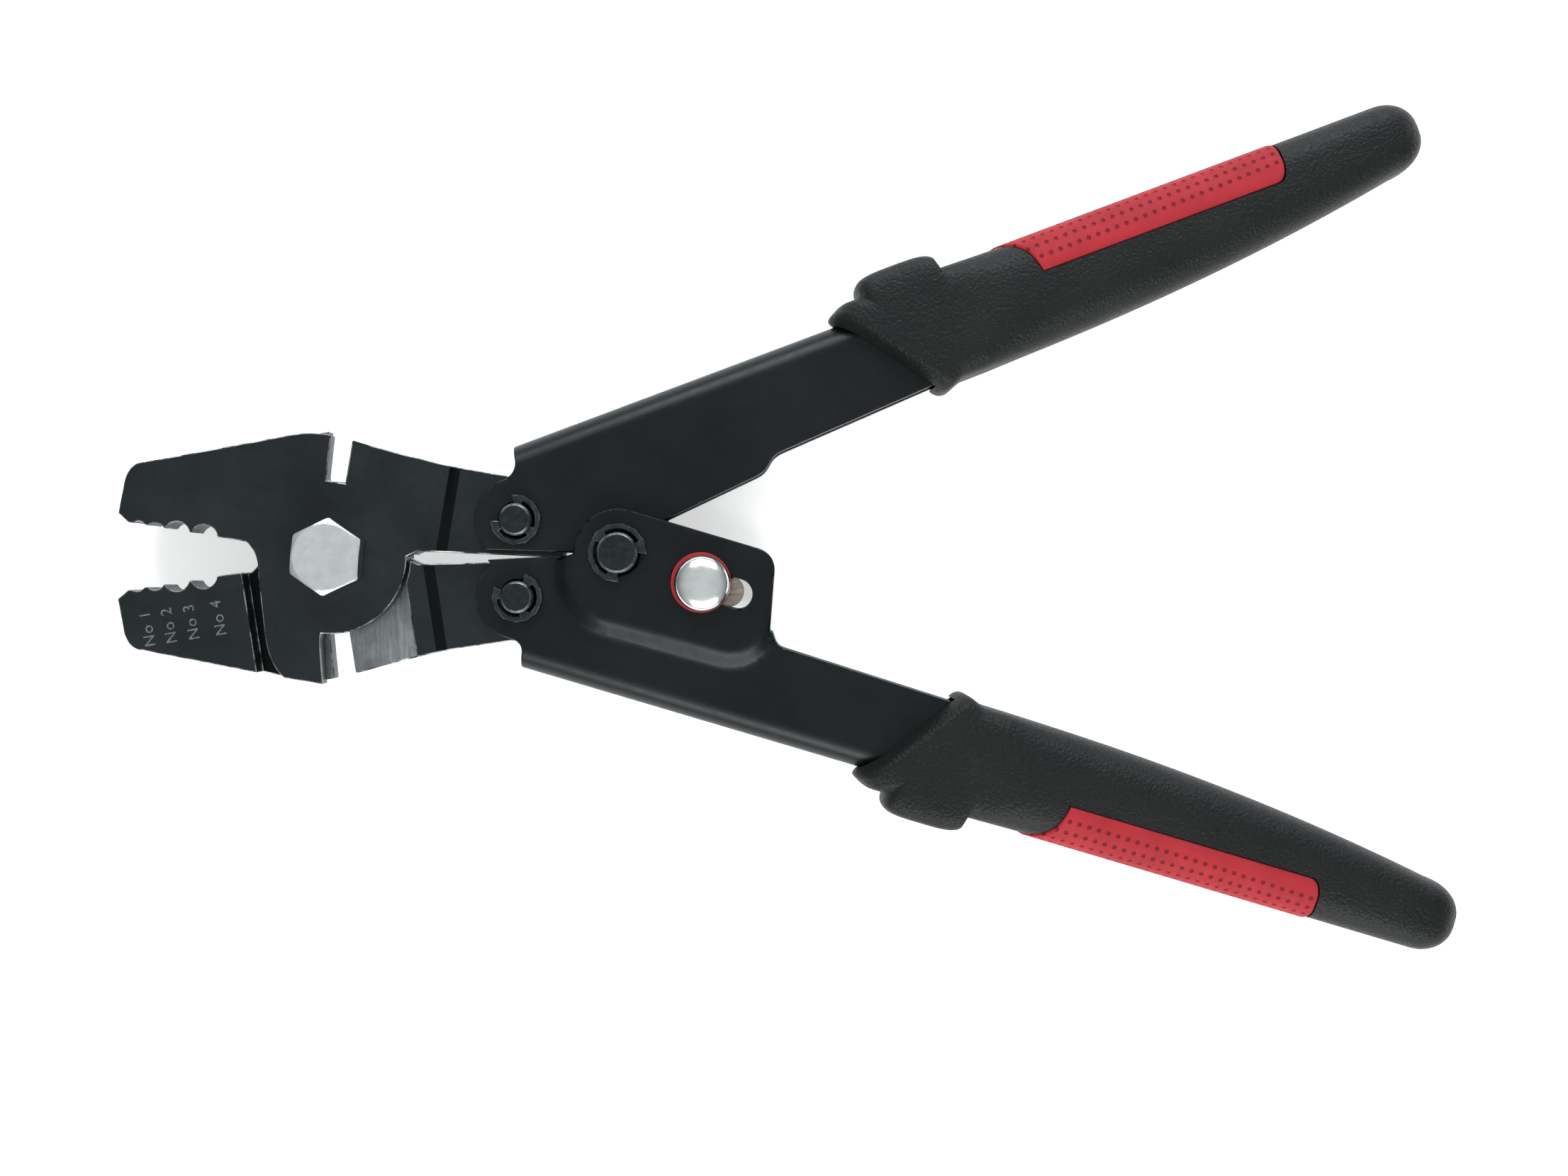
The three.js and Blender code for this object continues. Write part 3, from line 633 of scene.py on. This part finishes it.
def make_bolt(chrome):
    top = SEAT + 4.3
    corner = pi / 6 - radians(5.5)
    bm = bmesh.new()
    rings = [round_ring(3.6, SEAT - 1), round_ring(3.6, SEAT), hex_ring(corner, lambda r: SEAT, 0.15),
             hex_ring(corner, lambda r: SEAT + 0.15)]
    for inset, drop in ((0.0, 0.16), (0.05, 0.06), (0.14, 0.0)):
        rings.append(hex_ring(corner, lambda r, d=drop: top - (r - HEX_FACE) * 0.5 - d, inset))
    for radius, drop in ((HEX_FACE + 0.02, 0.02), (HEX_FACE - 0.1, 0.0), (3.5, 0.0), (0.8, 0.0)):
        rings.append(round_ring(radius, top - drop))
    skin(bm, rings)
    head = to_object("pivot_bolt_head", bm, part_frame(bolt_at, 0), 20)
    flatten_normals(head)
    shank = [(0, -9), (3.2, -9), (3.9, -8.4)]
    z = -8.4
    while z < -SEAT:                # the thread, seen only at the end and in the nut's mouth
        shank += [(3.95, z), (3.55, z + 0.35), (3.95, z + 0.7)]
        z += 0.75
    shank += [(3.95, z + 0.1), (3.95, SEAT + 0.2), (0, SEAT + 0.2)]
    stem = to_object("pivot_bolt_shank", lathe(shank), part_frame(bolt_at, 0), 25)
    for piece in (head, stem):
        stand_in(piece, "pivot_bolt", chrome)


def make_nut(chrome):
    low = -SEAT - 4.6
    corner = radians(10) + pi / 6
    bm = bmesh.new()
    rings = [round_ring(4.3, -SEAT), round_ring(4.3, low + 0.5), round_ring(4.8, low), round_ring(HEX_FACE - 0.1, low),
             round_ring(HEX_FACE + 0.02, low + 0.02)]
    for inset, lift in ((0.14, 0.0), (0.05, 0.06), (0.0, 0.16)):
        rings.append(hex_ring(corner, lambda r, d=lift: low + (r - HEX_FACE) * 0.5 + d, inset))
    rings += [hex_ring(corner, lambda r: -SEAT - 0.15), hex_ring(corner, lambda r: -SEAT, 0.15)]
    rings.append(rings[0])
    skin(bm, rings, caps=False)
    bmesh.ops.remove_doubles(bm, verts=bm.verts, dist=1e-4)
    nut = to_object("pivot_nut_hexagon", bm, part_frame(bolt_at, 0), 20)
    flatten_normals(nut)
    stand_in(nut, "pivot_nut", chrome)


def make_pins(pin):
    for node, radius, face in (("upper_jaw_pin", 3.1, 4.5), ("lower_jaw_pin", 3.1, 4.5), ("handle_pin", 3.9, 6.8)):
        seat = face + 0.15
        top = seat + 2.4
        head = radius + 1.4
        profile = [(0, -seat - 1.2), (head - 0.4, -seat - 1.2), (head, -seat - 0.8), (head, -seat), (radius, -seat),
                   (radius, seat), (radius - 0.8, seat), (radius - 0.8, seat + 1.4), (radius, seat + 1.4),
                   (radius, top - 0.45), (radius - 0.45, top), (0, top)]

        def rim(at, r=radius, z=top):
            return 0.9 if at.z > z - 0.5 and Vector((at.x, at.y)).length > r - 0.55 else 0.0
        low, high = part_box(node)
        bm = lathe(eased(profile, 0.16), worn=rim)
        piece = to_object(f"{node}_turned", bm, part_frame((low + high) / 2, 0), 40)
        stand_in(piece, node, pin)


# ---- handles -------------------------------------------------------------------------------------

RAMP_FROM, RAMP_TO = -1.3, 3.5      # the ear's ramp, across its outline
EAR_RISE, CHEEK_FACE = 2.3, 4.5


def raised_outline():
    """Plan of the lower handle's raised ear in its own frame: an arc, a straight, an arc and open sides."""
    points = [(40, -24), (33, -24), (33, 6)]
    points += [(24 + 9 * cos(a), 6 + 9 * sin(a)) for a in (pi / 2 * i / 12 for i in range(1, 13))]
    points += [(1.5 + 12.6 * cos(a), 3 + 12.6 * sin(a)) for a in (radians(82 + 90 * i / 24) for i in range(25))]
    return [Vector(p) for p in points + [(-24, -4), (-24, -24)]]


def depth_inside(point, outline):
    """Distance from the outline, positive on its inner side."""
    nearest, inside = 1e9, False
    for a, b in zip(outline, outline[1:] + outline[:1]):
        along = b - a
        t = min(1, max(0, (point - a).dot(along) / along.length_squared))
        nearest = min(nearest, (point - a - along * t).length)
        if (a.y > point.y) != (b.y > point.y) and point.x < a.x + (point.y - a.y) / (b.y - a.y) * along.x:
            inside = not inside
    return nearest if inside else -nearest


def soften_ear(bm):
    """Turns the straight ramp round the raised ear into a drawn curve, on a fine grid."""
    to_local = part_frame(hinge_at, LOWER_HANDLE_TURN, True).inverted()
    bm.transform(to_local)
    bm.normal_update()

    def outer(face):
        at = face.calc_center_median()
        return abs(face.normal.z) > 0.3 and face.normal.z * at.z > 0 and abs(at.z) > CHEEK_FACE - 0.05

    def near(face):
        at = face.calc_center_median()
        return outer(face) and -15 < at.x < 37 and -10 < at.y < 19.5
    for at, normal in (((-15, 0, 0), (1, 0, 0)), ((37, 0, 0), (1, 0, 0)), ((0, 19.5, 0), (0, 1, 0))):
        cut_faces(bm, [f for f in bm.faces if outer(f)], at, normal)
    for k in range(1, 52):
        cut_faces(bm, [f for f in bm.faces if near(f)], (-15 + k, 0, 0), (1, 0, 0))
    for k in range(1, 37):
        cut_faces(bm, [f for f in bm.faces if near(f)], (0, -10 + k * 0.8, 0), (0, 1, 0))
    outline = raised_outline()
    for vert in {v for f in bm.faces if near(f) for v in f.verts}:
        if vert.co.y < 19 and vert.co.x < 36.5:
            depth = depth_inside(vert.co.xy, outline)
            rise = EAR_RISE * smoothstep(depth, RAMP_FROM, RAMP_TO)
            vert.co.z = (CHEEK_FACE + rise) * (1 if vert.co.z > 0 else -1)
    bm.transform(to_local.inverted())


def make_handles(coating):
    upper = refined("upper_handle", "upper_handle_pressed", 0.28, 2)
    stand_in(upper, "upper_handle", coating)
    lower = refined("lower_handle", "lower_handle_pressed", 0.28, 2, shape=soften_ear)
    stand_in(lower, "lower_handle", coating)


# ---- grips ---------------------------------------------------------------------------------------

GRIP = {"half": 8.6, "outer": 29.4, "inner": 8.2, "lip": 1.3,      # half thickness, then heights in the side view
        "stop": 3.6, "stop_x": 69.2, "stop_half": 8.3,              # the thumb stop's rise, middle and half length
        "tip_x": 165.6, "tip_inner": 15.6, "tip_length": 7.35}
STOP_POWER = 3.6                    # how square the thumb stop's corners are
MOUTH_X, MOUTH_Y, MOUTH_SLOPE = 54.6, 27.2, 0.72
MOUTH_RIM = 0.9                     # radius of the mouth's rounded edge
MOUTH_RINGS = (-7.6, -6, -4.5, -3, -1.8)    # offsets of the rings that make up the mouth's end face
MOUTH_SCOOP = 3.3                   # how far the mouth's edge is drawn back on the flat faces
UPPER_SHIFT = -1.7


def smoothstep(x, low, high):
    t = min(1, max(0, (x - low) / (high - low)))
    return t * t * (3 - 2 * t)


def grip_outer(x):
    stop = max(0, 1 - abs((x - GRIP["stop_x"]) / GRIP["stop_half"]) ** STOP_POWER) ** (1 / STOP_POWER)
    return GRIP["outer"] - 2.4 * (1 - smoothstep(x, 52, 58)) + GRIP["stop"] * stop


def grip_inner(x):
    along = max(0, x - 68) / (GRIP["tip_x"] - 68)
    lip = GRIP["lip"] * (1 - smoothstep(x, 69, 75))
    return GRIP["inner"] + (GRIP["tip_inner"] - GRIP["inner"]) * along ** 2.3 - lip


def grip_roundness(x):
    """Small is square: the stop is a flat-sided fin, and the rest is an oval."""
    return 0.33 + 0.31 * smoothstep(x, 76, 91)


def section_point(angle, roundness):
    n = 2 / roundness
    c, s = cos(angle), sin(angle)
    k = (abs(c) ** n + abs(s) ** n) ** (-1 / n)
    return c * k, s * k


@cache
def grip_station(u):
    """Centre and half height of the slanted section that starts at u on the line of the mouth's outer end."""
    slope = MOUTH_SLOPE * (1 - smoothstep(u, MOUTH_X, 86))
    below, above = 26.0, 34.0
    for _ in range(30):
        high = (below + above) / 2
        if high < grip_outer(u + slope * (MOUTH_Y - high)):
            below = high
        else:
            above = high
    low = grip_inner(u)
    for _ in range(6):
        low = grip_inner(u + slope * (MOUTH_Y - low))
    return slope, (high + low) / 2, (high - low) / 2


def grip_point(u, angle, offset):
    slope, centre, half = grip_station(u)
    c, s = section_point(angle, grip_roundness(u))
    y = centre + (half + offset) * c
    z = (GRIP["half"] + offset) * s
    scoop = MOUTH_SCOOP * (z / GRIP["half"]) ** 2 * (1 - smoothstep(u, MOUTH_X, 68))
    return Vector((u + slope * (MOUTH_Y - y) + scoop, y, z))


def steps(low, high, by):
    count = max(1, round((high - low) / by))
    return [low + (high - low) * i / count for i in range(count)]


def grip_rings(count=96):
    angles = [2 * pi * (i + 0.5) / count for i in range(count)]
    rings = [[grip_point(MOUTH_X, a, offset) for a in angles] for offset in MOUTH_RINGS]
    for i in range(5):
        t = i / 4 * pi / 2
        rings.append([grip_point(MOUTH_X + MOUTH_RIM * (1 - cos(t)), a, MOUTH_RIM * (sin(t) - 1)) for a in angles])
    along = steps(MOUTH_X + MOUTH_RIM + 0.4, 59, 0.7) + steps(59, 68, 0.5) + steps(68, 75, 1) + steps(75, 80, 0.35)
    for u in along + steps(80, GRIP["tip_x"], 1.5):
        rings.append([grip_point(u, a, 0) for a in angles])
    _, centre, half = grip_station(GRIP["tip_x"])
    for i in range(15):
        t = i / 14 * pi / 2 * 0.985
        x = GRIP["tip_x"] + GRIP["tip_length"] * sin(t)
        ring = []
        for a in angles:
            c, s = section_point(a, grip_roundness(x))
            ring.append((x, centre + half * cos(t) * c, GRIP["half"] * cos(t) ** 0.8 * s))
        rings.append(ring)
    return rings


SOCKET_HALF, SOCKET_BACK = 4.8, 21.8        # half the hollow's thickness, and where its round back begins


def socket_tool():
    """The hollow that the channel's end fills, with a round back like the channel's spine."""
    bm = bmesh.new()
    rings = []
    for x, low in ((40, 6), (64, 8.2), (72, 8.6), (80, 9.9), (160, 18.2)):
        ring = [(x, low, -SOCKET_HALF), (x, low, SOCKET_HALF)]
        for i in range(17):
            turn = pi * i / 16
            ring.append((x, SOCKET_BACK + SOCKET_HALF * sin(turn), SOCKET_HALF * cos(turn)))
        rings.append(ring)
    skin(bm, rings)
    return bm


INSERT_FROM, INSERT_TO, INSERT_EDGE = 88.0, 145.0, 21.6
INSERT_NOSE, INSERT_TAIL = 7.2, 3.2         # lengths over which its two ends round off


def insert_reach(x, grow):
    """How far round the section the insert reaches at x, as an angle from the outer side."""
    x0, x1 = INSERT_FROM - grow, INSERT_TO + grow
    edge = INSERT_EDGE - grow
    _, centre, half = grip_station(x)
    top = centre + half
    front = min(1, max(0, (x - x0) / INSERT_NOSE))
    back = min(1, max(0, (x1 - x) / INSERT_TAIL))
    depth = (1 - sqrt(max(0, 1 - front * front))) * (1 - (1 - back) ** 3) ** (1 / 3)
    level = top - (top - edge) * max(depth, 0.0015)
    low, high = 0.0, pi * 0.75
    for _ in range(40):
        mid = (low + high) / 2
        c, _s = section_point(mid, grip_roundness(x))
        if centre + half * c > level:
            low = mid
        else:
            high = mid
    return low


def insert_patch(inner, outer, grow, across=40, crown=0.0):
    """A curved plate that follows the grip's outer side between two offsets, with its UV map in centimetres.
    `crown` is how far its outer face falls towards its edges."""
    bm = bmesh.new()
    uv = bm.loops.layers.uv.new("UVMap")
    x0, x1 = INSERT_FROM - grow + 0.02, INSERT_TO + grow - 0.02
    stations = steps(x0, x0 + 7.4, 0.45) + steps(x0 + 7.4, x1 - 3.4, 1.4) + steps(x1 - 3.4, x1, 0.3) + [x1]
    place = {}
    rings = []
    for x in stations:
        reach = insert_reach(x, grow)
        end = min(1, min(x - x0, x1 - x) / 0.8)
        ring = []
        for side, level in ((1, outer), (-1, inner)):
            for i in range(across + 1):
                t = side * (2 * i / across - 1)
                edge = min(1, (1 - abs(t)) * reach * 9 / 0.8) * end
                fall = crown * (1 - edge) ** 2 if side == 1 else 0
                angle = t * reach
                place[len(rings), len(ring)] = (x / 10, angle * 0.95)
                ring.append(grip_point(x, angle, level - fall))
        rings.append(ring)
    rows = skin(bm, rings)
    where = {vert: place[r, i] for r, row in enumerate(rows) for i, vert in enumerate(row)}
    for face in bm.faces:
        for loop in face.loops:
            loop[uv].uv = where[loop.vert]
    return bm


def cut_away(piece, bm, matrix):
    tool = to_object("tool", bm, matrix)
    modifier = piece.modifiers.new("cut", "BOOLEAN")
    modifier.operation = "DIFFERENCE"
    modifier.solver = "EXACT"
    modifier.object = tool
    bake(piece)
    bpy.data.objects.remove(tool)


def make_grips(rubber, red):
    for side, turn, shift in (("upper", UPPER_HANDLE_TURN, UPPER_SHIFT), ("lower", LOWER_HANDLE_TURN, 0.0)):
        matrix = part_frame(hinge_at, turn, side == "lower") @ Matrix.Translation((shift, 0, 0))
        bm = bmesh.new()
        skin(bm, grip_rings())
        grip = to_object(f"{side}_grip_moulded", bm, matrix, 50)
        cut_away(grip, socket_tool(), matrix)
        cut_away(grip, insert_patch(-1.8, 1.2, 0.22), matrix)
        grip.data.set_sharp_from_angle(angle=radians(50))
        stand_in(grip, f"{side}_grip", rubber)
        insert = to_object(f"{side}_grip_insert_dotted", insert_patch(-1.5, 0.3, 0.0, crown=0.45), matrix, 60)
        stand_in(insert, f"{side}_grip_insert", red)


# ---- spring --------------------------------------------------------------------------------------

WIRE = 0.58                         # radius
LEG_X, LEG_Y = 24, 21.9             # a leg's end in its handle's own frame


def spring_path():
    """Millimetres about the handle pin: a leg on each handle's spine and three turns between them."""
    coil, leg_z, turns = 5.8, 1.5, 3

    def leg_end(turn, y):
        return Vector((LEG_X * cos(turn) - y * sin(turn), LEG_X * sin(turn) + y * cos(turn)))
    low = leg_end(radians(LOWER_HANDLE_TURN), -LEG_Y)
    high = leg_end(radians(UPPER_HANDLE_TURN), LEG_Y)
    reach = atan2(sqrt(low.length ** 2 - coil ** 2), coil)
    start = atan2(low.y, low.x) - reach
    sweep = atan2(high.y, high.x) + reach - start - 2 * pi * turns
    points = []
    count = 32 * turns
    for i in range(count + 1):
        angle = start + sweep * i / count
        points.append(Vector((coil * cos(angle), coil * sin(angle), leg_z * (2 * i / count - 1))))
    first, last = points[0], points[-1]
    lower = [first.lerp(Vector((low.x, low.y, -leg_z)), 1 - i / 12) for i in range(12)]
    upper = [last.lerp(Vector((high.x, high.y, leg_z)), (i + 1) / 12) for i in range(12)]
    return lower + points + upper


def make_spring(wire):
    path = spring_path()
    bm = bmesh.new()
    rings = []
    for i, point in enumerate(path):
        along = (path[min(i + 1, len(path) - 1)] - path[max(i - 1, 0)]).normalized()
        side = along.cross(Vector((0, 0, 1))).normalized()
        up = side.cross(along)
        rings.append([point + WIRE * (side * cos(a) + up * sin(a)) for a in (2 * pi * k / 14 for k in range(14))])
    skin(bm, rings)
    piece = to_object("opening_spring_wire", bm, part_frame(hinge_at, 0), 60)
    piece.data.materials.append(wire)
    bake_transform(piece)
    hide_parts("opening_spring")


# ---- lock and clips ------------------------------------------------------------------------------


def make_lock(chrome, red, zinc):
    low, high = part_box("lock_button")
    at = (low + high) / 2
    seat, stem, head = 8.3, 2.5, 5.3
    profile = [(0, -8.9), (stem - 0.3, -8.9), (stem, -8.6), (stem, -8.3), (stem - 0.6, -8.3), (stem - 0.6, -7.08),
               (stem, -7.08), (stem, seat), (head - 0.3, seat), (head, seat + 0.3), (head, seat + 0.75)]
    dome = [(head * cos(t) ** 0.9, seat + 0.75 + 2.4 * sin(t)) for t in (pi / 2 * i / 14 for i in range(1, 14))]
    bm = lathe(eased(profile, 0.15)[:-1] + [profile[-1]] + dome + [(0, seat + 3.15)])
    stand_in(to_object("lock_button_domed", bm, part_frame(at, 0), 45), "lock_button", chrome)

    ring_low, ring_high = 7.1, 8.0
    loop = eased([(4.2, ring_low), (5.7, ring_low), (5.7, ring_high), (2.8, ring_high), (2.8, ring_low),
                  (4.2, ring_low)], 0.3)[:-1]
    aside = Vector((at.x - 0.3 * MM, at.y + 0.2 * MM))    # the ring hangs loose on its stem
    stand_in(to_object("lock_ring_moulded", lathe(loop, ring=True), part_frame(aside, 0), 45), "lock_ring", red)
    stand_in(refined("lock_plate", "lock_plate_pressed", 0.12), "lock_plate", zinc)


def make_clips(steel):
    for node in ("upper_jaw_clip", "lower_jaw_clip", "handle_clip", "lock_clip"):
        stand_in(refined(node, f"{node}_stamped", 0.14), node, steel)
    low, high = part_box("handle_pin_spacer")
    loop = eased([(4.5, -2.2), (4.85, -2.2), (4.85, 2.2), (4.2, 2.2), (4.2, -2.2), (4.5, -2.2)], 0.15)[:-1]
    bush = to_object("handle_pin_spacer_turned", lathe(loop, ring=True), part_frame((low + high) / 2, 0), 45)
    stand_in(bush, "handle_pin_spacer", steel)


# ---- everything ----------------------------------------------------------------------------------

add_camera()
add_world()
add_area("key", (0.05, 0.78, 0.50), (1.0, 0.5), 12.0, (0.86, 0.93, 1.0))
add_area("fill", (0.05, -0.80, 0.48), (1.0, 0.5), 10.5, (0.97, 0.99, 1.0))
bpy.context.scene.view_settings.view_transform = "Standard"

bpy.ops.mesh.primitive_plane_add(size=6)
floor = bpy.context.active_object
floor.name = "floor"
floor.location.z = cad_box[0].z
floor.data.materials.append(floor_paper())

chrome = bright_plate()
make_jaws(black_oxide())
make_marks()
make_bolt(chrome)
make_nut(chrome)
make_pins(dark_pin())
make_handles(black_coating())
make_grips(grip_rubber(), red_plastic(True))
make_spring(spring_wire())
make_lock(chrome, red_plastic(False), zinc_plate())
make_clips(clip_steel())
